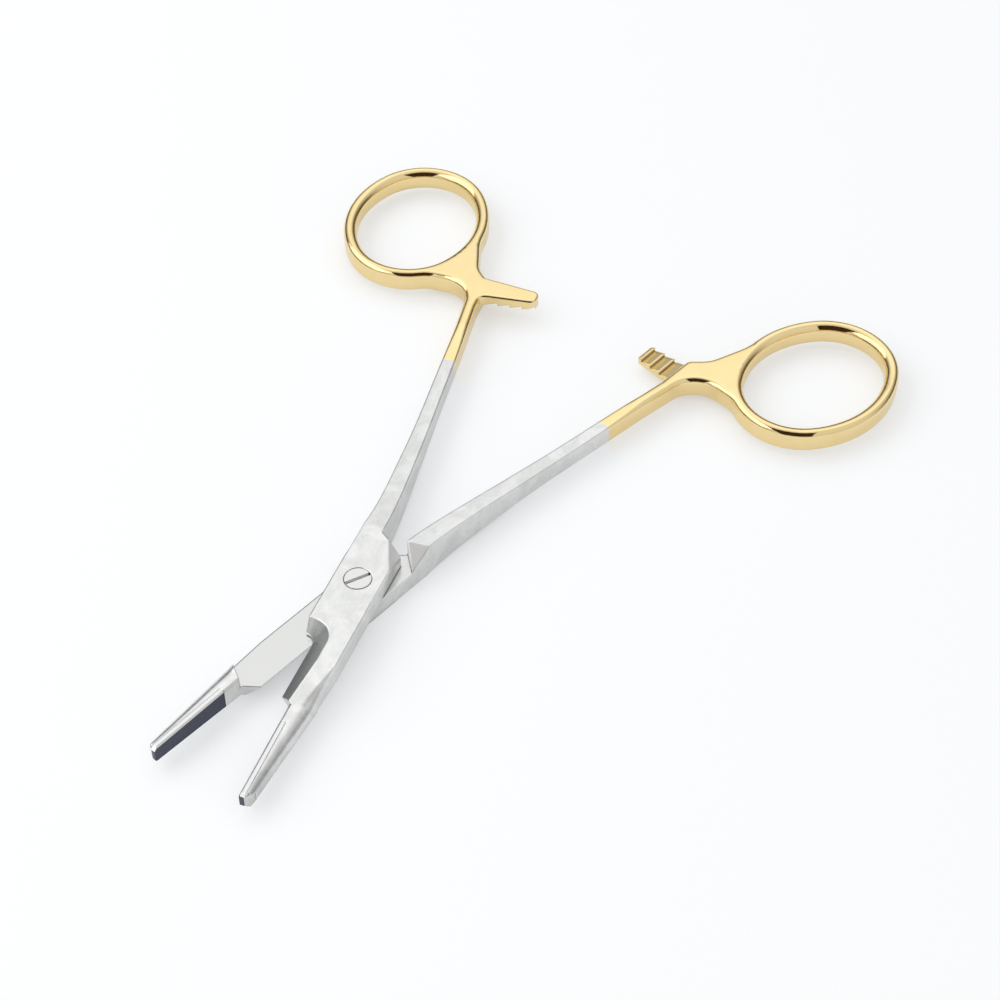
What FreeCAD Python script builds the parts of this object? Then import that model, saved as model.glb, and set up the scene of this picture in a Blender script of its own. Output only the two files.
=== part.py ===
"""Surgical needle holder with cutting blades behind its jaws, 140 mm long.

Two crossed halves turn on one slotted screw.  Each half is a single forging: finger ring,
ratchet bar, shank, joint plate, blade and jaw.  A carbide insert is brazed to each jaw.

Each half is drawn in its own arm frame: u runs from the pivot towards the finger ring, v
points to the half's ring side, z is up, and the closed jaws meet on v = 0.  The lower half
is the upper half turned over about the u axis at mid height.  In the row frame X is the
bisector of the two halves, the origin is on the pivot axis at the joint's underside.
"""
import FreeCAD, Part
import math
import os
from FreeCAD import Vector

# Joint
THICK = 6.0              # height of the two joint plates together
SLIDE_GAP = 0.02         # from mid height to each sliding face
OPEN_DEG = 20.2          # angle between the halves as modelled
RING_SIDE = 3.75         # joint plate's edge on the ring side
FAR_SIDE = 4.0           # joint plate's edge on the other side, at mid height
FAR_TOP = 3.75           # the same edge at the top, so the wall leans
SHOULDER_DIST = 8.6      # pivot to the shoulder's upright face, square to it
SHOULDER_DEG = 37.6      # direction of that face's normal, away from u
SHOULDER_GAP = 0.25      # the other half's wing stops this short of it when closed
RAMP_FOOT = 7.7          # where the shoulder's ramp meets mid height, on the outer edge
RAMP_HEAD = 12.3         # where the ramp meets the flat, on the outer edge
RAMP_INNER = 10.4        # where the ramp dies out, near the inner edge
WING_CREST = (9.6, -0.9)  # u and v where the wing's top facet begins, by the shank
WING_START = 3.1         # u where the facet begins, on the far side
WING_END = 7.5           # u where the facet is lowest, on the far side
WING_DROP = 1.2          # how much lower the facet is there

# Pivot screw
HEAD_R = 2.1
HEAD_DEPTH = 1.1
HEAD_GAP = 0.06          # round the head and under it
BODY_R = 1.3             # plain part, in the upper half
RUN_GAP = 0.05           # running clearance on that part
THREAD_R = 1.2           # threaded part, in the lower half
THREAD_GAP = 0.02
TAIL_SHORT = 0.15        # the screw ends this far inside the underside
SLOT_WIDTH = 0.5
SLOT_DEPTH = 0.6
SLOT_DEG = -31.0         # the slot's direction in the row frame

# Blade
EDGE_V = 2.15            # the cutting edge passes the closing plane by this much
EDGE_LAND = 0.12         # thickness left at the cutting edge
BLADE_LEAN = 1.7         # the blade's front end slants back this much, from the jaw to the edge
HOOK_R = 1.6             # notch behind the cutting edge
BEVEL_TOP_V = -0.8       # upper border of the ground bevel
BEVEL_TOP_R = 3.7        # its round rear end, at the top
BEVEL_TOP_U = -13.2
BEVEL_LOW_R = 1.2        # the same, at the cutting edge's height
BEVEL_LOW_U = -12.4

# Jaw
JAW_STEP = -25.0         # u of the full-height jaw's rear face, at the grip face
JAW_LEAN = 1.8           # the rear face is this much nearer the pivot at the outer side
JAW_BEHIND = 0.4         # from the rear face to the front of the blade, at the grip face
JAW_LONG = 16.8          # from the rear face to the tip
TIP_ROUND = 1.5          # the tip's outer corner, seen from above
TIP_NOSE = 0.3           # flat part of the tip beside the grip face
TIP_BEVEL_LONG = 0.7     # bevel across the top and bottom of the tip
TIP_BEVEL_HIGH = 0.5
TAPER_LONG = 7.6         # the plate turns into the jaw over this length behind the blade's front
JAW_CLEAR = 0.02         # grip face to the closing plane
JAW_CHAMFER = 0.35       # along the grip face's long edges
JAW_REAR = (1.95, 1.5, 3.5)   # half height, flat width and full width at the jaw's rear
JAW_TIP = (1.42, 0.9, 1.8)    # the same at the tip
INSERT_THICK = 0.9
INSERT_LONG = 13.8

# Shank
EDGE_ROUND = 0.95        # long edges of the handle, and of the shank where it ends
HOLE_ROUND = 1.3         # edges of the finger hole, where the ring's wall leaves room
SHANK_START = 4.0        # the shank's straight block begins here, inside the plate
SHANK_TURN = 8.0         # degrees between the shank's end and u
SHANK = (                # u, centre line v, half width, half height, edge radius
    (11.0, 2.03, 1.72, 3.00, 0.15),
    (17.0, 2.17, 1.55, 2.62, 0.18),
    (25.0, 2.90, 1.42, 2.20, 0.21),
    (33.0, 3.75, 1.30, 1.82, 0.24),
    (42.0, 4.85, 1.22, 1.64, 0.28),
    (51.0, 5.92, 1.18, 1.68, 0.36),
    (60.0, 7.05, 1.15, 2.00, EDGE_ROUND),
)

# Handle
RING_LONG = 14.2         # half axes of the ring's centre line
RING_WIDE = 11.6
RING_END_SHARE = 0.888   # radius of its two end arcs, as a share of the short half axis
RING_TILT = 5.7          # degrees between the ring's long axis and u
RING_WALL = 2.3
RING_AHEAD = 8.9         # ring's near end, from the shank's end along u
RING_ASIDE = 6.35        # ring's inner side, from the shank's end along v
WEB_OUT_DEG = 195.0      # directions in which the web's two outlines run into the ring
WEB_IN_DEG = 277.0
BLEND_OUT_R = 5.0        # where they meet the ring
BLEND_IN_R = 11.0
WEB_RUN_OUT = 10.87      # outer outline from the shank's end to its bend towards the ring
WEB_BEND_R = 5.0
WEB_BACK = 2.6           # inner outline turns towards the heel this far before the bar
HEEL_AHEAD = 12.2        # corner behind the ratchet bar, from the shank's end along u
HEEL_IN = 0.25           # the same, against v
HEEL_R = 1.5
WEB_CORNER_AHEAD = 2.5   # the inner outline bends towards the ring here, from the heel along u
WEB_CORNER_ASIDE = 2.8   # the same, along v
WEB_CORNER_R = 5.0

# Ratchet
BAR_WIDE = 4.7           # at its root
BAR_PAST_HEEL = 0.45     # bar's edge on the ring side, from the heel along u
# Each half's bar: length from the heel, corner radius at the tip, how much its near and far
# edges come in there, and how far its smooth face lies below the web's
BAR_UPPER = (9.3, 1.15, 1.6, 0.25, 0.0)
BAR_LOWER = (7.9, 0.4, 0.95, 0.0, 0.45)
BAR_EDGE = 0.35          # its long edges on the smooth side
BAR_ROOT_R = 2.0         # corner between its near edge and the shank
BAR_FLARE = 3.0          # its foot starts this far before the near edge, on the shank's centre line
BAR_FOOT = 2.8           # and reaches this far past the heel on the ring side
TOOTH_PITCH = 2.1
TOOTH_DEPTH = 0.6
TOOTH_COUNT = 3
TOOTH_FIRST = 2.9        # from the heel to the crest next to the root
CREST_GAP = 0.05         # from mid height to the crests

MID = THICK / 2
UP = Vector(0, 0, 1)
TIP_U = JAW_STEP - JAW_LONG
BLADE_FOOT = JAW_STEP + JAW_BEHIND
HEEL = (SHANK[-1][0] + HEEL_AHEAD, SHANK[-1][1] - HEEL_IN)
BAR_FAR = HEEL[0] + BAR_PAST_HEEL
BAR_NEAR = BAR_FAR - BAR_WIDE
FAR = 8 * THICK          # cutting tools reach this far, past everything that they cut
INSET = 0.1              # solids that overlap inside another start this far under its face
PAST = 1.0               # solids that are trimmed run this far past the place
TOUCH = 1e-5             # places nearer than this are the same


def prism(points, low, high):
    """Straight-sided solid over a plan polygon of (u, v) points."""
    corners = [Vector(u, v, low) for u, v in points]
    wire = Part.makePolygon(corners + corners[:1])
    return Part.Face(wire).extrude(UP * (high - low))


def box(low, high):
    """Box between two opposite corners."""
    size = [b - a for a, b in zip(low, high)]
    return Part.makeBox(*size, Vector(*low))


def arc(centre, radius, start_deg, end_deg, z):
    """Arc edge in a level plane, from one direction to another about its centre."""
    def at(degrees):
        turn = math.radians(degrees)
        return Vector(centre[0] + radius * math.cos(turn), centre[1] + radius * math.sin(turn), z)
    return Part.Arc(at(start_deg), at((start_deg + end_deg) / 2), at(end_deg)).toShape()


def rounded_wire(corners, z):
    """Level outline whose (u, v, radius) corners are rounded, radius 0 for a sharp one."""
    count = len(corners)
    spans = []
    arcs = []
    for i, (u, v, radius) in enumerate(corners):
        corner = Vector(u, v, z)
        before = (Vector(*corners[i - 1][:2], z) - corner).normalize()
        after = (Vector(*corners[(i + 1) % count][:2], z) - corner).normalize()
        if radius == 0:
            spans.append((corner, corner))
            arcs.append(None)
            continue
        half = before.getAngle(after) / 2
        enter = corner + before * (radius / math.tan(half))
        leave = corner + after * (radius / math.tan(half))
        middle = corner + (before + after).normalize() * (radius / math.sin(half) - radius)
        spans.append((enter, leave))
        arcs.append(Part.Arc(enter, middle, leave).toShape())
    chain = []
    for i in range(count):
        if arcs[i]:
            chain.append(arcs[i])
        start = spans[i][1]
        end = spans[(i + 1) % count][0]
        if start.distanceToPoint(end) > Part.Precision.approximation():
            chain.append(Part.makeLine(start, end))
    return Part.Wire(chain)


def rounded_prism(corners, low, high):
    """Straight-sided solid over a rounded outline."""
    return Part.Face(rounded_wire(corners, low)).extrude(UP * (high - low))


def upright_edge(shape, u, v):
    """The upright edge nearest to a place in plan."""
    upright = [e for e in shape.Edges if len(e.Vertexes) == 2
               and abs(e.Vertexes[0].X - e.Vertexes[1].X) < TOUCH
               and abs(e.Vertexes[0].Y - e.Vertexes[1].Y) < TOUCH]
    return min(upright, key=lambda e: math.hypot(e.Vertexes[0].X - u, e.Vertexes[0].Y - v))


def half_space(points, side, low, high):
    """Large slab on one side of the plane through three points, between two heights."""
    a, b, c = [Vector(*p) for p in points]
    normal = (b - a).cross(c - a).normalize()
    if normal.dot(Vector(*side)) < 0:
        normal = -normal
    along = (b - a).normalize()
    across = normal.cross(along)
    corners = [a + along * i + across * j for i, j in ((-FAR, -FAR), (FAR, -FAR), (FAR, FAR), (-FAR, FAR))]
    slab = Part.Face(Part.makePolygon(corners + corners[:1])).extrude(normal * FAR)
    return slab.common(box((-FAR, -FAR, low), (FAR, FAR, high)))


def wing_u(v):
    """The u at which the wing's edge passes v; the other half's shoulder is its mirror image."""
    turn = math.radians(SHOULDER_DEG)
    return (SHOULDER_DIST - SHOULDER_GAP - abs(v) * math.sin(turn)) / math.cos(turn)


def jaw_section(u, half_height, flat, width):
    """Section of the plate and jaw: flat top and bottom, rounded on the outer side."""
    side = Vector(u, -width, MID)

    def quarter(sign):
        start = Vector(u, -flat, MID + sign * half_height)
        corner = Vector(u, -width, MID + sign * half_height)
        curve = Part.BSplineCurve()
        weight = math.cos(math.radians(45))
        curve.buildFromPolesMultsKnots([start, corner, side], [3, 3], [0, 1], False, 2, [1, weight, 1])
        return curve.toShape()

    grip_top = Vector(u, FAR, MID + half_height)
    grip_low = Vector(u, FAR, MID - half_height)
    return Part.Wire([
        Part.makeLine(grip_low, grip_top),
        Part.makeLine(grip_top, Vector(u, -flat, MID + half_height)),
        quarter(1),
        quarter(-1),
        Part.makeLine(Vector(u, -flat, MID - half_height), grip_low),
    ])


def bevel_wire(z):
    """Plan border of the ground bevel at one height, out past the blade's edge."""
    edge_z = MID + SLIDE_GAP + EDGE_LAND
    share = (z - edge_z) / (THICK - edge_z)
    radius = BEVEL_LOW_R + share * (BEVEL_TOP_R - BEVEL_LOW_R)
    rear = BEVEL_LOW_U + share * (BEVEL_TOP_U - BEVEL_LOW_U) + radius
    low_v = EDGE_V + share * (BEVEL_TOP_V - EDGE_V)
    return rounded_wire([(rear, FAR, 0), (rear, low_v, radius), (-FAR, low_v, 0), (-FAR, FAR, 0)], z)


def plate_plan():
    """Plan corners of the joint plate, blade and jaw, past the outer side that is shaped later."""
    outside = -2 * FAR_SIDE
    hook_u = BEVEL_LOW_U + HOOK_R
    tip_low = -JAW_CLEAR - TIP_NOSE - TIP_ROUND
    shank_in = SHANK[0][1] - SHANK[0][2]
    overlap = SHANK[0][0] - INSET
    return [
        (SHANK_START, RING_SIDE, 0),
        (hook_u, RING_SIDE, 0),
        (hook_u, EDGE_V, HOOK_R),
        (BLADE_FOOT + BLADE_LEAN, EDGE_V, 0),
        (BLADE_FOOT, -JAW_CLEAR, 0),
        (TIP_U, -JAW_CLEAR, 0),
        (TIP_U, tip_low, TIP_ROUND),
        (TIP_U + TIP_ROUND, tip_low, 0),
        (TIP_U + TIP_ROUND, outside, 0),
        (wing_u(outside), outside, 0),
        (wing_u(shank_in + INSET), shank_in + INSET, 0),
        (overlap, SHANK[0][1] - INSET, 0),
        (overlap, SHANK[0][1] + INSET, 0),
        (SHANK_START + PAST, RING_SIDE - INSET, 0),
    ]


def plate_blade_jaw():
    """Joint plate, blade and jaw of one half, before the insert is let in."""
    past_tip = TIP_U - PAST
    past_plate = SHANK[0][0] + PAST
    plate = (MID, FAR_TOP, FAR_SIDE)
    sections = [
        jaw_section(past_plate, *plate),
        jaw_section(BLADE_FOOT + TAPER_LONG, *plate),
        jaw_section(BLADE_FOOT, *JAW_REAR),
        jaw_section(past_tip, *JAW_TIP),
    ]
    body = rounded_prism(plate_plan(), 0, THICK).common(Part.makeLoft(sections, True, True))

    step_slope = JAW_LEAN / JAW_REAR[2]
    underside = prism([
        (JAW_STEP - FAR_SIDE * step_slope, FAR_SIDE),
        (JAW_STEP + 2 * FAR_SIDE * step_slope, -2 * FAR_SIDE),
        (past_plate, -2 * FAR_SIDE),
        (past_plate, FAR_SIDE),
    ], -THICK, MID + SLIDE_GAP)
    body = body.cut(underside)

    edge_z = MID + SLIDE_GAP + EDGE_LAND
    body = body.cut(Part.makeLoft([bevel_wire(edge_z), bevel_wire(2 * THICK)], True, True))

    long_edges = [e for e in body.Edges if len(e.Vertexes) == 2
                  and all(abs(p.Y + JAW_CLEAR) < TOUCH for p in e.Vertexes)
                  and abs(e.Vertexes[0].X - e.Vertexes[1].X) > INSERT_LONG]
    body = body.makeChamfer(JAW_CHAMFER, long_edges)
    slope = (JAW_REAR[0] - JAW_TIP[0]) / (BLADE_FOOT - past_tip)
    for sign in (1, -1):
        bevel_u = TIP_U + TIP_BEVEL_LONG
        bevel_z = MID + sign * (JAW_TIP[0] + slope * (bevel_u - past_tip))
        tip_z = MID + sign * (JAW_TIP[0] - TIP_BEVEL_HIGH)
        body = body.cut(half_space([(bevel_u, 0, bevel_z), (TIP_U, 0, tip_z), (TIP_U, THICK, tip_z)],
                                   (-1, 0, sign), -THICK, 2 * THICK))
    return body


def shank_section(u, v, half_width, half_height, radius, turn_deg=0):
    """Rounded rectangle, square to u unless it is turned."""
    wire = rounded_wire([(side * half_width, top * half_height, radius)
                         for side, top in ((1, 1), (-1, 1), (-1, -1), (1, -1))], 0)
    wire.rotate(Vector(0, 0, 0), Vector(1, 1, 1), 120)
    wire.rotate(Vector(0, 0, 0), UP, turn_deg)
    wire.translate(Vector(u, v, MID))
    return wire


def shank():
    """Tapered shank with its shoulder and ramp, clear of the other half's plate."""
    first = shank_section(*SHANK[0])
    block = Part.Face(first).extrude(Vector(SHANK_START - SHANK[0][0], 0, 0))
    sections = [first] + [shank_section(*station) for station in SHANK[1:-1]]
    sections.append(shank_section(*SHANK[-1], SHANK_TURN))
    body = block.fuse(Part.makeLoft(sections, True, False))
    face_z = MID + SLIDE_GAP
    pocket = box((SHOULDER_DIST - FAR, -FAR, -FAR), (SHOULDER_DIST, FAR, face_z))
    pocket.rotate(Vector(0, 0, 0), UP, SHOULDER_DEG)
    outer_v = SHANK[0][1] + SHANK[0][2]
    inner_v = SHANK[0][1] - SHANK[0][2]
    ramp = half_space([(RAMP_INNER, inner_v, 0), (RAMP_HEAD, outer_v, 0), (RAMP_FOOT, outer_v, MID)],
                      (-1, 0, -1), -FAR, face_z)
    return body.cut([pocket, ramp])


def on_ring(local):
    """From the ring's own long and short axes to u and v."""
    tilt = math.radians(RING_TILT)
    return (SHANK[-1][0] + RING_AHEAD + RING_LONG + local[0] * math.cos(tilt) - local[1] * math.sin(tilt),
            SHANK[-1][1] + RING_ASIDE + RING_WIDE + local[0] * math.sin(tilt) + local[1] * math.cos(tilt))


def web_end(direction_deg):
    """Point inside the ring's wall at which an outline of the web ends."""
    turn = math.radians(direction_deg)
    return on_ring((RING_LONG * math.cos(turn), RING_WIDE * math.sin(turn)))


def ring_oval(offset, low, high):
    """Oval solid of four arcs about the ring's centre, its outline moved out from the centre line."""
    middle_r = RING_END_SHARE * RING_WIDE
    end_u = RING_LONG - middle_r
    side_r = (end_u ** 2 + RING_WIDE ** 2 - middle_r ** 2) / (2 * (RING_WIDE - middle_r))
    side_v = side_r - RING_WIDE
    meet_deg = math.degrees(math.atan2(side_v, end_u))
    end_r = middle_r + offset
    long_r = side_r + offset
    oval = Part.Wire([
        arc((end_u, 0), end_r, -meet_deg, meet_deg, low),
        arc((0, -side_v), long_r, meet_deg, 180 - meet_deg, low),
        arc((-end_u, 0), end_r, 180 - meet_deg, 180 + meet_deg, low),
        arc((0, side_v), long_r, 180 + meet_deg, 360 - meet_deg, low),
    ])
    oval.rotate(Vector(0, 0, 0), UP, RING_TILT)
    oval.translate(Vector(*on_ring((0, 0)), 0))
    return Part.Face(oval).extrude(UP * (high - low))


def past_shank(run, side):
    """Point past the shank's end along its own direction, on its centre line or one of its sides."""
    end_u, end_v, half_width = SHANK[-1][:3]
    turn = math.radians(SHANK_TURN)
    return (end_u + run * math.cos(turn) - side * half_width * math.sin(turn),
            end_v + run * math.sin(turn) + side * half_width * math.cos(turn))


def run_to(u):
    """Length past the shank's end at which its centre line passes u."""
    return (u - SHANK[-1][0]) / math.cos(math.radians(SHANK_TURN))


def outer_face(body, z):
    """The largest face at one height."""
    level = [f for f in body.Faces if all(abs(p.Z - z) < TOUCH for p in f.Vertexes)]
    return max(level, key=lambda f: f.Area)


def handle_half(low, high):
    """Ring and web between two heights, rounded along the outer one."""
    corners = [
        (*past_shank(0, 1), 0),
        (*past_shank(WEB_RUN_OUT, 1), WEB_BEND_R),
        (*web_end(WEB_OUT_DEG), 0),
        (*web_end(WEB_IN_DEG), 0),
        (HEEL[0] + WEB_CORNER_AHEAD, HEEL[1] + WEB_CORNER_ASIDE, WEB_CORNER_R),
        (*HEEL, HEEL_R),
        (*past_shank(run_to(BAR_NEAR - WEB_BACK), -1), 0),
        (*past_shank(0, -1), 0),
    ]
    body = ring_oval(RING_WALL / 2, low, high).fuse(rounded_prism(corners, low, high)).removeSplitter()
    for direction_deg, radius in ((WEB_OUT_DEG, BLEND_OUT_R), (WEB_IN_DEG, BLEND_IN_R)):
        body = body.makeFillet(radius, [upright_edge(body, *web_end(direction_deg))])
    body = body.cut(ring_oval(-RING_WALL / 2, low, high)).removeSplitter()
    rim_z = high if high > MID else low
    turn = math.radians(SHANK_TURN)
    end = Vector(*past_shank(0, 0), rim_z)
    along = Vector(math.cos(turn), math.sin(turn), 0)
    outside = outer_face(body, rim_z)
    hole = [e for w in outside.Wires for e in w.Edges if not w.isSame(outside.OuterWire)]
    body = body.makeFillet(min(HOLE_ROUND, 0.97 * (RING_WALL - EDGE_ROUND)), hole)
    rim = [e for e in outer_face(body, rim_z).OuterWire.Edges
           if not all(abs((p.Point - end).dot(along)) < TOUCH for p in e.Vertexes)]
    return body.makeFillet(EDGE_ROUND, rim)


def ratchet_notches():
    """Saw-tooth notches under the bar, each steep on the side towards the shank."""
    face = MID + CREST_GAP
    near = BAR_NEAR - BAR_FLARE - TOOTH_PITCH
    across = BAR_FAR + TOOTH_PITCH - near
    solids = []
    for i in range(TOOTH_COUNT + 1):
        crest = HEEL[1] - TOOTH_FIRST + (1 - i) * TOOTH_PITCH
        points = [
            Vector(near, crest, face - TOOTH_DEPTH),
            Vector(near, crest, face),
            Vector(near, crest - TOOTH_PITCH, face + TOOTH_DEPTH),
            Vector(near, crest - TOOTH_PITCH, face - TOOTH_DEPTH),
        ]
        tooth = Part.Face(Part.makePolygon(points + points[:1]))
        solids.append(tooth.extrude(Vector(across, 0, 0)))
    return solids


def ratchet_bar(length, tip_r, taper_near, taper_far, below_face):
    """Ratchet bar with its foot inside the web and its crests at mid height."""
    tip_v = HEEL[1] - length
    top = MID + SHANK[-1][3] - below_face
    body = rounded_prism([
        (*past_shank(run_to(BAR_NEAR - BAR_FLARE), 0), 0),
        (BAR_NEAR, HEEL[1], BAR_ROOT_R),
        (BAR_NEAR + taper_near, tip_v, tip_r),
        (BAR_FAR - taper_far, tip_v, tip_r),
        (BAR_FAR, HEEL[1] + BAR_FOOT, 0),
    ], MID + CREST_GAP, top)
    rim = [e for e in body.Edges if all(abs(p.Z - top) < TOUCH for p in e.Vertexes)]
    return body.makeFillet(BAR_EDGE, rim).cut(ratchet_notches())


def handle(bar):
    """Finger ring and web, in two halves that meet at mid height, and the ratchet bar."""
    half_height = SHANK[-1][3]
    return [handle_half(MID, MID + half_height), handle_half(MID - half_height, MID), ratchet_bar(*bar)]


def blank(bar):
    """One forged half with its plain jaw, in the arm frame."""
    body = plate_blade_jaw().fuse([shank()] + handle(bar))
    facet = half_space([(*WING_CREST, THICK), (WING_START, -FAR_TOP, THICK),
                        (WING_END, -FAR_SIDE, THICK - WING_DROP)], (1, -1, 1), MID, 2 * THICK)
    near = box((0, -THICK, MID), (SHANK[0][0], 0, 2 * THICK))
    return body.cut(facet.common(near)).removeSplitter()


def insert_slab():
    """Space of the brazed insert along the grip face."""
    return box((TIP_U - PAST, -JAW_CLEAR - INSERT_THICK, 0), (TIP_U + INSERT_LONG, 0, THICK))


def cylinder(radius, low, high):
    """Upright cylinder on the pivot axis."""
    return Part.makeCylinder(radius, high - low, Vector(0, 0, low))


def to_row(shape, lower):
    """From the arm frame to the row frame; the lower half is turned over first."""
    placed = shape.copy()
    if lower:
        placed.rotate(Vector(0, 0, MID), Vector(1, 0, 0), 180)
    placed.rotate(Vector(0, 0, 0), UP, -OPEN_DEG / 2 if lower else OPEN_DEG / 2)
    return placed


def pivot_screw():
    """Slotted screw: head in the upper half, threaded end in the lower."""
    head_low = THICK - HEAD_DEPTH
    body = cylinder(HEAD_R, head_low, THICK).fuse([
        cylinder(BODY_R, MID, head_low),
        cylinder(THREAD_R, TAIL_SHORT, MID),
    ])
    slot = box((-2 * HEAD_R, -SLOT_WIDTH / 2, THICK - SLOT_DEPTH), (2 * HEAD_R, SLOT_WIDTH / 2, 2 * THICK))
    slot.rotate(Vector(0, 0, 0), UP, SLOT_DEG)
    return body.cut(slot).removeSplitter()


def build():
    """All sub-parts by node name."""
    upper = blank(BAR_UPPER)
    lower = blank(BAR_LOWER)
    slab = insert_slab()
    counterbore = cylinder(HEAD_R + HEAD_GAP, THICK - HEAD_DEPTH - HEAD_GAP, 2 * THICK)
    bearing = cylinder(BODY_R + RUN_GAP, 0, THICK)
    threaded = cylinder(THREAD_R + THREAD_GAP, 0, THICK)
    return {
        "upper_half": to_row(upper.cut([slab, counterbore, bearing]), False),
        "lower_half": to_row(lower.cut([slab, threaded]), True),
        "upper_jaw_insert": to_row(upper.common(slab), False),
        "lower_jaw_insert": to_row(lower.common(slab), True),
        "pivot_screw": pivot_screw(),
    }


def main():
    os.makedirs("parts", exist_ok=True)
    for name, shape in build().items():
        solids = shape.Solids
        result = solids[0] if len(solids) == 1 else Part.makeCompound(solids)
        result.exportStep("parts/" + name + ".step")
        print(name, "solids", len(solids), "valid", result.isValid(), "volume", round(result.Volume, 2))


main()
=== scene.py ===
"""Blender scene of the surgical needle holder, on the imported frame, in metres."""
import math

import bmesh
import bpy
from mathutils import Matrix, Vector


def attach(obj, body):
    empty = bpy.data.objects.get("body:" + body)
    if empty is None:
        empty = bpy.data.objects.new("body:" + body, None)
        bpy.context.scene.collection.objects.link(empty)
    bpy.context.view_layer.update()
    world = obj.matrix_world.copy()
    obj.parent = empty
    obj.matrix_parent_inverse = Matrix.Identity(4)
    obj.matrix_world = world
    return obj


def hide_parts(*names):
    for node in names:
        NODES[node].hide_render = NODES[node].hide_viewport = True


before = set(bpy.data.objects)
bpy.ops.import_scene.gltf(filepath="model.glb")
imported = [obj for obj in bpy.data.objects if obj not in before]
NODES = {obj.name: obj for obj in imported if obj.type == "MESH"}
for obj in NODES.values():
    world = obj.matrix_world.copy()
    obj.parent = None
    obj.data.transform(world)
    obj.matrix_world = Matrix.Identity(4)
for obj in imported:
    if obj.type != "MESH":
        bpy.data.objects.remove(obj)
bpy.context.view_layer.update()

HALF_OPEN = math.radians(10.1)   # each half's direction, either side of the X axis
GILT_START = 51.3                # the gilding begins this far from the pivot along each half, in mm
GILT_BLUR = 0.06                 # half the width of the gilding's edge, in mm
MID_HEIGHT = 3.0                 # height at which the halves slide on each other, in mm
TIP_ALONG = -41.8                # the jaws' tips, in mm
BEVEL_ALONG = (-25.5, -8.5)      # the bevel behind the cutting edge, from and to, in mm
SHOULDER_ALONG = (2.0, 16.0)     # the shoulders beside the joint
SLOPE_ALONG = (-4.0, 11.0)       # the slopes beside the joint
GRIP_PITCH = 0.00036             # spacing and depth of the grips' cross-cut grooves
GRIP_DEPTH = 0.00009
GRIP_FACING = 0.999              # a face with this much of the grip's direction belongs to the grip

# Camera at the photograph's angle
CAMERA_AT = (-0.18156, -0.13529, 0.2600)
CAMERA_TO = (0.03002, -0.00695, 0.0)
LENS = 80.8
SENSOR = 36.0
LEFT = (-0.5186, 0.8550)         # the picture's left, and away from the camera, on the floor
AWAY = (0.8550, 0.5186)
PANEL = (0.590, 0.358, 0.724)    # middle of the bright overhead panel beyond the object

# Light
MIDDLE = Vector((0.03, 0.0, 0.0))   # the lamp points here
KEY_AT = MIDDLE + Vector((*LEFT, 0)) * 0.6 + Vector((*AWAY, 0)) * 0.02 + Vector((0, 0, 0.5))
KEY_SIZE = (1.1, 0.7)
KEY_POWER = 2.5
DARK_CARD_SIZE = (0.36, 0.56)       # for the dark reflections on the gold
DARK_CARD_SHADE = (0.04, 0.022, 0.012, 1)
FLOOR_HALF = 4.0
FLOOR_DROP = 0.00002                # keeps the floor clear of the part's underside
FLOOR_COLOUR = (0.62, 0.625, 0.63, 1)
FLOOR_LIFT_COLOUR = (0.96, 0.98, 1.0, 1)
FLOOR_LIFT_SEEN = 0.43              # added where the camera sees the floor
FLOOR_LIFT_MIRRORED = 0.33          # added where a reflection sees it
WORLD_COLOUR = (0.99, 0.995, 1.0, 1)
WORLD_SEEN = 0.97                   # the world's strength for the camera

# Finishes, as the two ends that a pattern mixes
STEEL = ((0.72, 0.725, 0.71, 1), (0.82, 0.825, 0.81, 1))
# painted shade: the bevel's dark steel
BEVEL_SHADED_STEEL = ((0.3, 0.305, 0.31, 1), (0.52, 0.53, 0.53, 1))
GOLD = ((0.94, 0.71, 0.32, 1), (0.96, 0.79, 0.45, 1))
SCREW_STEEL = ((0.68, 0.68, 0.665, 1), (0.8, 0.8, 0.79, 1))
INSERT_GRIP = ((0.055, 0.06, 0.085, 1), (0.15, 0.16, 0.2, 1))
INSERT_SIDES = ((0.7, 0.7, 0.69, 1), (0.82, 0.82, 0.81, 1))
SLIDING_STEEL = (0.69, 0.695, 0.675, 1)
# painted highlight, for the sharp edges and the shoulders
HIGHLIGHT_STEEL = (0.95, 0.95, 0.94, 1)
# painted highlight for the screw's edges
SCREW_EDGE_HIGHLIGHT = (0.93, 0.93, 0.92, 1)
RELIEF_DISTANCE = 0.00001

# Patterns, as frequencies along and across the half per mm, and the noise's detail
LINES = (0.6, 14.0, 3.0)
PITS = (5.0, 5.0, 6.0)


def add_object(name, data):
    """An object with this data, in the scene."""
    made = bpy.data.objects.new(name, data)
    bpy.context.collection.objects.link(made)
    return made


def aim(thing, at, to):
    """Place a camera, lamp or card and point it."""
    thing.location = at
    thing.rotation_euler = (Vector(to) - Vector(at)).to_track_quat("-Z", "Y").to_euler()


def rectangle(name, half_x, half_y, z=0.0):
    """A flat mesh of one face."""
    mesh = bpy.data.meshes.new(name)
    corners = [(-half_x, -half_y, z), (half_x, -half_y, z), (half_x, half_y, z), (-half_x, half_y, z)]
    mesh.from_pydata(corners, [], [(0, 1, 2, 3)])
    return mesh


def place_camera():
    """The camera at the photograph's angle."""
    data = bpy.data.cameras.new("photo_camera")
    data.lens = LENS
    data.sensor_width = SENSOR
    data.clip_start = 0.01
    camera = add_object("photo_camera", data)
    aim(camera, CAMERA_AT, CAMERA_TO)
    bpy.context.scene.camera = camera


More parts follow.
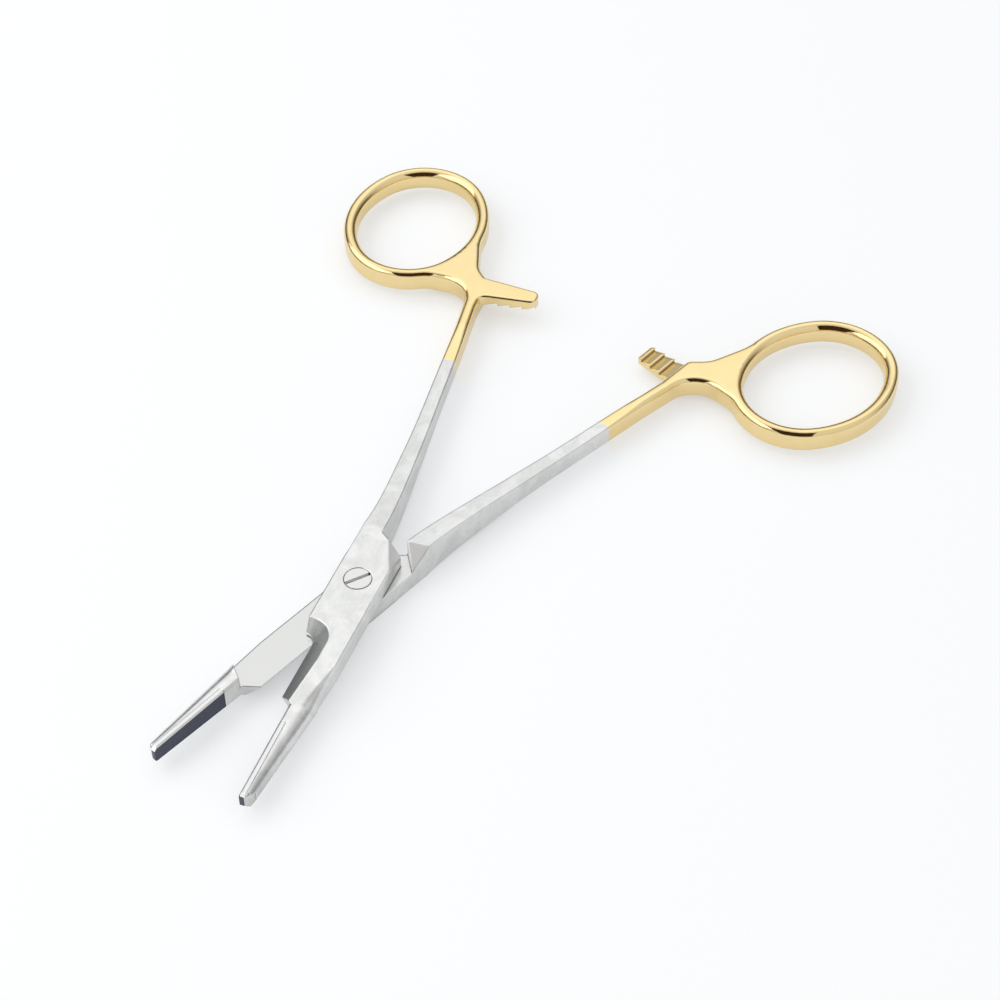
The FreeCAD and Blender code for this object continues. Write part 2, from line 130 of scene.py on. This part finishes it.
class Nodes:
    """Short way to build a node tree."""

    def __init__(self, tree):
        self.tree = tree
        tree.nodes.clear()

    def add(self, kind, inputs=None, **settings):
        node = self.tree.nodes.new(kind)
        for name, value in settings.items():
            setattr(node, name, value)
        for name, value in (inputs or {}).items():
            self.set(node.inputs[name], value)
        return node

    def set(self, socket, value):
        if isinstance(value, bpy.types.NodeSocket):
            self.tree.links.new(value, socket)
        elif isinstance(value, bpy.types.Node):
            self.tree.links.new(value.outputs[0], socket)
        else:
            socket.default_value = value

    def math(self, operation, a, b=0.0):
        return self.add("ShaderNodeMath", {0: a, 1: b}, operation=operation)

    def ramp(self, value, low, high, out_low=0.0, out_high=1.0):
        """Smooth step of a value between two limits."""
        return self.add("ShaderNodeMapRange", {"Value": value, "From Min": low, "From Max": high,
                                               "To Min": out_low, "To Max": out_high},
                        interpolation_type="SMOOTHSTEP")

    def mix(self, share, a, b):
        node = self.add("ShaderNodeMix", data_type="RGBA")
        self.set(node.inputs[0], share)
        self.set(node.inputs[6], a)
        self.set(node.inputs[7], b)
        return node.outputs[2]


def new_material(name):
    """A material and its emptied node tree."""
    material = bpy.data.materials.new(name)
    material.use_nodes = True
    return material, Nodes(material.node_tree)


def arm_coordinates(n, side):
    """Place along a half, across it and in height, in millimetres; side is 1 for the upper half."""
    place = n.add("ShaderNodeTexCoord").outputs["Object"]
    cos, sin = math.cos(HALF_OPEN) * 1000, math.sin(HALF_OPEN) * 1000
    along = n.add("ShaderNodeVectorMath", {0: place, 1: (cos, side * sin, 0)}, operation="DOT_PRODUCT")
    across = n.add("ShaderNodeVectorMath", {0: place, 1: (-side * sin, cos, 0)}, operation="DOT_PRODUCT")
    height = n.add("ShaderNodeVectorMath", {0: place, 1: (0, 0, 1000)}, operation="DOT_PRODUCT")
    return along.outputs["Value"], across.outputs["Value"], height.outputs["Value"]


def soft_edges(n, radius, samples=6):
    """Normal that rounds the sharp edges."""
    return n.add("ShaderNodeBevel", {"Radius": radius}, samples=samples)


def edge_mask(n, rounded):
    """1 along the sharp edges, where a painted highlight goes."""
    flat = n.add("ShaderNodeNewGeometry").outputs["Normal"]
    along_edge = n.add("ShaderNodeVectorMath", {0: rounded, 1: flat}, operation="DOT_PRODUCT")
    return n.ramp(along_edge.outputs["Value"], 0.985, 0.9)


def painted_crevice_shade(n):
    """Less than 1 in corners and gaps: painted shade that darkens them."""
    wide = n.add("ShaderNodeAmbientOcclusion", {"Distance": 0.0015}, samples=8).outputs["AO"]
    tight = n.add("ShaderNodeAmbientOcclusion", {"Distance": 0.0005}, samples=8).outputs["AO"]
    return n.math("MULTIPLY", n.ramp(wide, 0.1, 0.65, 0.5, 1.0), n.ramp(tight, 0.35, 0.8, 0.1, 1.0))


def shaded(n, colour, factor):
    """A colour times a value."""
    return n.add("ShaderNodeVectorMath", {0: colour, "Scale": factor}, operation="SCALE").outputs[0]


def within(n, value, low, high, blur):
    """1 where a value lies between two limits."""
    above = n.ramp(value, low - blur, low + blur)
    below = n.ramp(value, high + blur, high - blur)
    return n.math("MULTIPLY", above, below)


def grain(n, along, across, height, along_scale, across_scale, detail=3.0):
    """Noise stretched along the half, as left by a grinding belt."""
    where = n.add("ShaderNodeCombineXYZ", {
        "X": n.math("MULTIPLY", along, along_scale),
        "Y": n.math("MULTIPLY", across, across_scale),
        "Z": n.math("MULTIPLY", height, across_scale),
    })
    return n.add("ShaderNodeTexNoise", {"Vector": where, "Scale": 1.0, "Detail": detail,
                                        "Roughness": 0.6}).outputs["Fac"]


def blend_values(n, share, a, b):
    """A value that goes from one to the other with the share."""
    node = n.add("ShaderNodeMix", data_type="FLOAT")
    n.set(node.inputs[0], share)
    n.set(node.inputs[2], a)
    n.set(node.inputs[3], b)
    return node.outputs[0]


def scaled(n, value, factor, offset):
    """A value times a factor, plus an offset."""
    node = n.math("MULTIPLY_ADD", value, factor)
    node.inputs[2].default_value = offset
    return node.outputs[0]


def metal(n, colour, metallic, rough, strength, relief, normal):
    """The shader that all the metals share."""
    bump = n.add("ShaderNodeBump", {"Strength": strength, "Distance": RELIEF_DISTANCE,
                                    "Height": relief, "Normal": normal})
    shader = n.add("ShaderNodeBsdfPrincipled", {"Base Color": colour, "Metallic": metallic,
                                                "Roughness": rough, "Normal": bump})
    n.add("ShaderNodeOutputMaterial", {"Surface": shader})


def forging_material(name, side):
    """Satin-ground stainless steel, gilded and polished from part-way along the shank."""
    material, n = new_material(name)
    along, across, height = arm_coordinates(n, side)
    up = n.add("ShaderNodeVectorMath", {0: n.add("ShaderNodeTexCoord").outputs["Normal"], 1: (0, 0, 1)},
               operation="DOT_PRODUCT").outputs["Value"]

    wander = grain(n, along, across, height, 0.35, 0.35, 2.0)
    gilt = n.ramp(n.math("ADD", along, scaled(n, wander, 0.5, -0.25)),
                  GILT_START - GILT_BLUR, GILT_START + GILT_BLUR)

    rounded = soft_edges(n, blend_values(n, gilt, 0.00035, 0.0006), 12)
    edges = edge_mask(n, rounded)

    lines = grain(n, along, across, height, *LINES)
    satin = grain(n, along, across, height, 0.9, 3.2, 4.0)
    cross_lines = grain(n, along, across, height, 11.0, 1.2)
    cloud = grain(n, along, across, height, 0.22, 0.34, 4.0)
    pits = grain(n, along, across, height, *PITS)
    swirl = n.add("ShaderNodeTexNoise", {
        "Vector": n.add("ShaderNodeCombineXYZ", {"X": along, "Y": across, "Z": height}),
        "Scale": 0.17, "Detail": 2.0, "Distortion": 1.8}).outputs["Fac"]
    swirl = n.ramp(swirl, 0.3, 0.7)

    # The sliding faces are ground finer, and the bevel behind the cutting edge is ground across and painted
    # darker, as painted shade.
    slide = n.math("MULTIPLY", within(n, height, MID_HEIGHT - 0.06, MID_HEIGHT + 0.06, 0.01),
                   n.ramp(n.math("ABSOLUTE", up), 0.9, 0.99))
    inner = n.math("MULTIPLY", across, float(side))
    bevel = n.math("MULTIPLY", within(n, n.math("MULTIPLY", up, float(side)), 0.6, 0.8, 0.03),
                   n.math("MULTIPLY", within(n, along, *BEVEL_ALONG, 0.1), n.ramp(inner, -1.4, -1.2)))

    # The shoulders and slopes beside the joint get a rougher finish and a lighter colour, a painted
    # highlight, tuned to the photo.
    endways = n.add("ShaderNodeVectorMath", {
        0: n.add("ShaderNodeTexCoord").outputs["Normal"],
        1: (math.cos(HALF_OPEN), side * math.sin(HALF_OPEN), 0)}, operation="DOT_PRODUCT")
    shoulder = n.math("MULTIPLY", n.ramp(n.math("ABSOLUTE", endways.outputs["Value"]), 0.25, 0.45),
                      within(n, along, *SHOULDER_ALONG, 0.5))
    sloping = within(n, n.math("ABSOLUTE", up), 0.2, 0.95, 0.03)
    shoulder = n.math("MAXIMUM", shoulder, n.math("MULTIPLY", sloping, within(n, along, *SLOPE_ALONG, 0.3)))

    steel_colour = n.mix(swirl, *STEEL)
    steel_colour = shaded(n, steel_colour, scaled(n, n.math("ADD", satin, pits), 0.22, 0.78))
    # painted shade: the steel darkens towards the jaws' tips
    steel_colour = shaded(n, steel_colour, n.ramp(along, TIP_ALONG, TIP_ALONG + 14.0, 0.84, 1.0))
    steel_colour = n.mix(slide, steel_colour, SLIDING_STEEL)
    # painted shade: the bevel is darker, with its cross-ground lines as grain
    bevel_shade_and_grain = n.mix(cross_lines, *BEVEL_SHADED_STEEL)
    steel_colour = n.mix(bevel, steel_colour, bevel_shade_and_grain)
    # painted highlight: the steel is lighter along its sharp edges
    steel_colour = n.mix(n.math("MULTIPLY", edges, 0.3), steel_colour, HIGHLIGHT_STEEL)
    # painted highlight: the shoulders and slopes are lighter
    steel_colour = n.mix(shoulder, steel_colour, HIGHLIGHT_STEEL)
    gold_colour = n.mix(cloud, *GOLD)
    # painted shade: the colour darkens in corners and gaps, a little less on the shoulders
    painted_shade_factor = blend_values(n, n.math("MULTIPLY", shoulder, 0.3), painted_crevice_shade(n), 1.0)
    colour = shaded(n, n.mix(gilt, steel_colour, gold_colour), painted_shade_factor)

    fine = scaled(n, lines, 0.2, 0.18)
    steel_rough = n.math("ADD", fine, scaled(n, pits, 0.08, -0.02))
    steel_rough = blend_values(n, slide, steel_rough, scaled(n, pits, 0.08, 0.2))
    steel_rough = blend_values(n, bevel, steel_rough, 0.36)
    steel_rough = blend_values(n, shoulder, steel_rough, 0.5)
    gold_rough = scaled(n, cloud, 0.07, 0.03)
    rough = blend_values(n, gilt, steel_rough, gold_rough)

    relief = n.math("ADD", n.math("MULTIPLY", lines, 0.7), n.math("MULTIPLY", pits, 0.3))
    relief = n.math("ADD", relief, n.math("MULTIPLY", satin, 1.4))
    relief = blend_values(n, slide, relief, n.math("MULTIPLY", pits, 0.3))
    relief = blend_values(n, bevel, relief, n.math("MULTIPLY", cross_lines, 2.0))
    waves = n.math("MULTIPLY", grain(n, along, across, height, 0.25, 0.4, 1.0), 4.0)
    metal(n, colour, 1.0, rough, 0.35, blend_values(n, gilt, relief, waves), rounded)
    return material


def screw_material():
    """Ground screw steel, with the belt's marks across its slot."""
    material, n = new_material("screw_steel")
    along, across, height = arm_coordinates(n, 1)
    lines = grain(n, along, across, height, *LINES)
    pits = grain(n, along, across, height, *PITS)
    rounded = soft_edges(n, 0.00012)
    colour = n.mix(lines, *SCREW_STEEL)
    # painted highlight: the screw's steel is lighter along its sharp edges
    colour = n.mix(n.math("MULTIPLY", edge_mask(n, rounded), 0.5), colour, SCREW_EDGE_HIGHLIGHT)
    relief = n.math("ADD", lines, n.math("MULTIPLY", pits, 0.5))
    metal(n, colour, 1.0, scaled(n, lines, 0.2, 0.15), 0.35, relief, rounded)
    return material


def insert_material(name, side):
    """Dark sintered carbide on the grip and the tip's end, ground bright on its other sides."""
    material, n = new_material(name)
    along, across, height = arm_coordinates(n, side)
    specks = grain(n, along, across, height, 9.0, 9.0, 5.0)
    lines = grain(n, along, across, height, *LINES)
    grip = n.ramp(n.math("MULTIPLY", across, float(side)), -0.16, -0.12)
    dark = n.math("MAXIMUM", grip, n.ramp(along, TIP_ALONG + 0.1, TIP_ALONG + 0.05))
    carbide = n.mix(specks, *INSERT_GRIP)
    bright = n.mix(lines, *INSERT_SIDES)
    rough = blend_values(n, dark, scaled(n, lines, 0.18, 0.14), scaled(n, specks, 0.2, 0.3))
    relief = blend_values(n, dark, lines, specks)
    metal(n, n.mix(dark, bright, carbide), 0.95, rough, 0.4, relief, soft_edges(n, 0.00004))
    return material


def knurled_insert(node, body, side, material):
    """The jaw's insert with its grip face cut crosswise into small pyramids."""
    mesh = NODES[node].data.copy()
    mesh.name = node + "_knurled"
    grip = Vector((-math.sin(HALF_OPEN), side * math.cos(HALF_OPEN), 0))
    length = Vector((math.cos(HALF_OPEN), side * math.sin(HALF_OPEN), 0))
    b = bmesh.new()
    b.from_mesh(mesh)
    bmesh.ops.remove_doubles(b, verts=b.verts, dist=1e-7)
    b.normal_update()
    flat = [f for f in b.faces if f.normal.dot(grip) > GRIP_FACING]
    face = bmesh.ops.dissolve_faces(b, faces=flat)["region"][0]
    border = list(face.verts)
    cells = [face]
    for lean in (1, -1):
        across = (length + Vector((0, 0, lean))).normalized()
        reach = [across.dot(v.co) for v in border]
        first = math.ceil(min(reach) / GRIP_PITCH)
        last = math.floor(max(reach) / GRIP_PITCH)
        for step in range(first, last + 1):
            near = {e for f in cells for e in f.edges} | {v for f in cells for v in f.verts}
            bmesh.ops.bisect_plane(b, geom=cells + list(near), plane_co=across * (step * GRIP_PITCH),
                                   plane_no=across, dist=1e-8)
            cells = [f for f in b.faces if f.normal.dot(grip) > GRIP_FACING]
    lattice = {v for f in cells for v in f.verts if all(g in cells for g in v.link_faces)}
    bmesh.ops.poke(b, faces=cells)
    for vertex in lattice:
        vertex.co -= grip * GRIP_DEPTH
    b.to_mesh(mesh)
    b.free()
    piece = add_object(node + "_knurled", mesh)
    coat(mesh, material)
    mesh.shade_flat()
    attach(piece, body)
    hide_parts(node)


def coat(mesh, material):
    """The material on a whole mesh, whose CAD normals stay as they are."""
    mesh.materials.clear()
    mesh.materials.append(material)


def floor_and_world():
    """A floor and surroundings that look white. Reflections see a dome, a panel and a darker side."""
    mesh = rectangle("floor", FLOOR_HALF, FLOOR_HALF, -FLOOR_DROP)
    floor = add_object("floor", mesh)
    material, n = new_material("floor_white")
    path = n.add("ShaderNodeLightPath")
    matt = n.add("ShaderNodeBsdfDiffuse", {"Color": FLOOR_COLOUR})
    seen = n.math("MULTIPLY", path.outputs["Is Camera Ray"], FLOOR_LIFT_SEEN)
    mirrored = n.math("MULTIPLY", path.outputs["Is Glossy Ray"], FLOOR_LIFT_MIRRORED)
    lift = n.add("ShaderNodeEmission", {"Color": FLOOR_LIFT_COLOUR,
                                        "Strength": n.math("ADD", seen, mirrored)})
    n.add("ShaderNodeOutputMaterial", {"Surface": n.add("ShaderNodeAddShader", {0: matt, 1: lift})})
    mesh.materials.append(material)

    world = bpy.data.worlds.new("white")
    bpy.context.scene.world = world
    world.use_nodes = True
    n = Nodes(world.node_tree)
    path = n.add("ShaderNodeLightPath")
    towards = n.add("ShaderNodeTexCoord").outputs["Generated"]
    height = n.add("ShaderNodeVectorMath", {0: towards, 1: (0, 0, 1)}, operation="DOT_PRODUCT")
    dark_side = (Vector(LEFT) * 0.35 + Vector(AWAY) * 0.94).normalized()
    aside = n.add("ShaderNodeVectorMath", {0: towards, 1: (*dark_side, 0)}, operation="DOT_PRODUCT")
    low = n.ramp(aside.outputs["Value"], -0.6, 0.0, 0.7, 0.05)
    dome = n.add("ShaderNodeMapRange", {"Value": height.outputs["Value"], "From Min": 0.1, "From Max": 0.85,
                                        "To Min": low.outputs[0], "To Max": 0.78},
                 interpolation_type="SMOOTHSTEP")
    panel = n.add("ShaderNodeVectorMath", {0: towards, 1: PANEL}, operation="DOT_PRODUCT")
    sky = n.math("ADD", dome, n.ramp(panel.outputs["Value"], 0.8, 0.96, 0.0, 0.42))
    strength = n.add("ShaderNodeMix", data_type="FLOAT")
    n.set(strength.inputs[0], path.outputs["Is Camera Ray"])
    n.set(strength.inputs[2], sky)
    strength.inputs[3].default_value = WORLD_SEEN
    n.add("ShaderNodeOutputWorld", {"Surface": n.add("ShaderNodeBackground", {
        "Color": WORLD_COLOUR, "Strength": strength.outputs[0]})})


def area_lamp(name, at, to, size, power):
    """A rectangular lamp."""
    data = bpy.data.lights.new(name, "AREA")
    data.shape = "RECTANGLE"
    data.size, data.size_y = size
    data.energy = power
    aim(add_object(name, data), at, to)


def card(name, at, to, size, shade):
    """A card that only reflections see."""
    mesh = rectangle(name, size[0] / 2, size[1] / 2)
    piece = add_object(name, mesh)
    aim(piece, at, to)
    piece.visible_camera = False
    piece.visible_diffuse = False
    piece.visible_shadow = False
    material, n = new_material(name)
    glow = n.add("ShaderNodeEmission", {"Color": shade, "Strength": 1.0})
    n.add("ShaderNodeOutputMaterial", {"Surface": glow})
    mesh.materials.append(material)


def light():
    """A large soft box overhead to the left, and a dark card where the camera stands."""
    area_lamp("key_box", KEY_AT, MIDDLE, KEY_SIZE, KEY_POWER)
    card("dark_camera", CAMERA_AT, CAMERA_TO, DARK_CARD_SIZE, DARK_CARD_SHADE)


def main():
    place_camera()
    floor_and_world()
    light()
    coat(NODES["upper_half"].data, forging_material("upper_forging", 1))
    coat(NODES["lower_half"].data, forging_material("lower_forging", -1))
    coat(NODES["pivot_screw"].data, screw_material())
    knurled_insert("upper_jaw_insert", "upper_body", 1, insert_material("upper_carbide", 1))
    knurled_insert("lower_jaw_insert", "lower_body", -1, insert_material("lower_carbide", -1))
    bpy.context.scene.view_settings.view_transform = "Standard"


main()
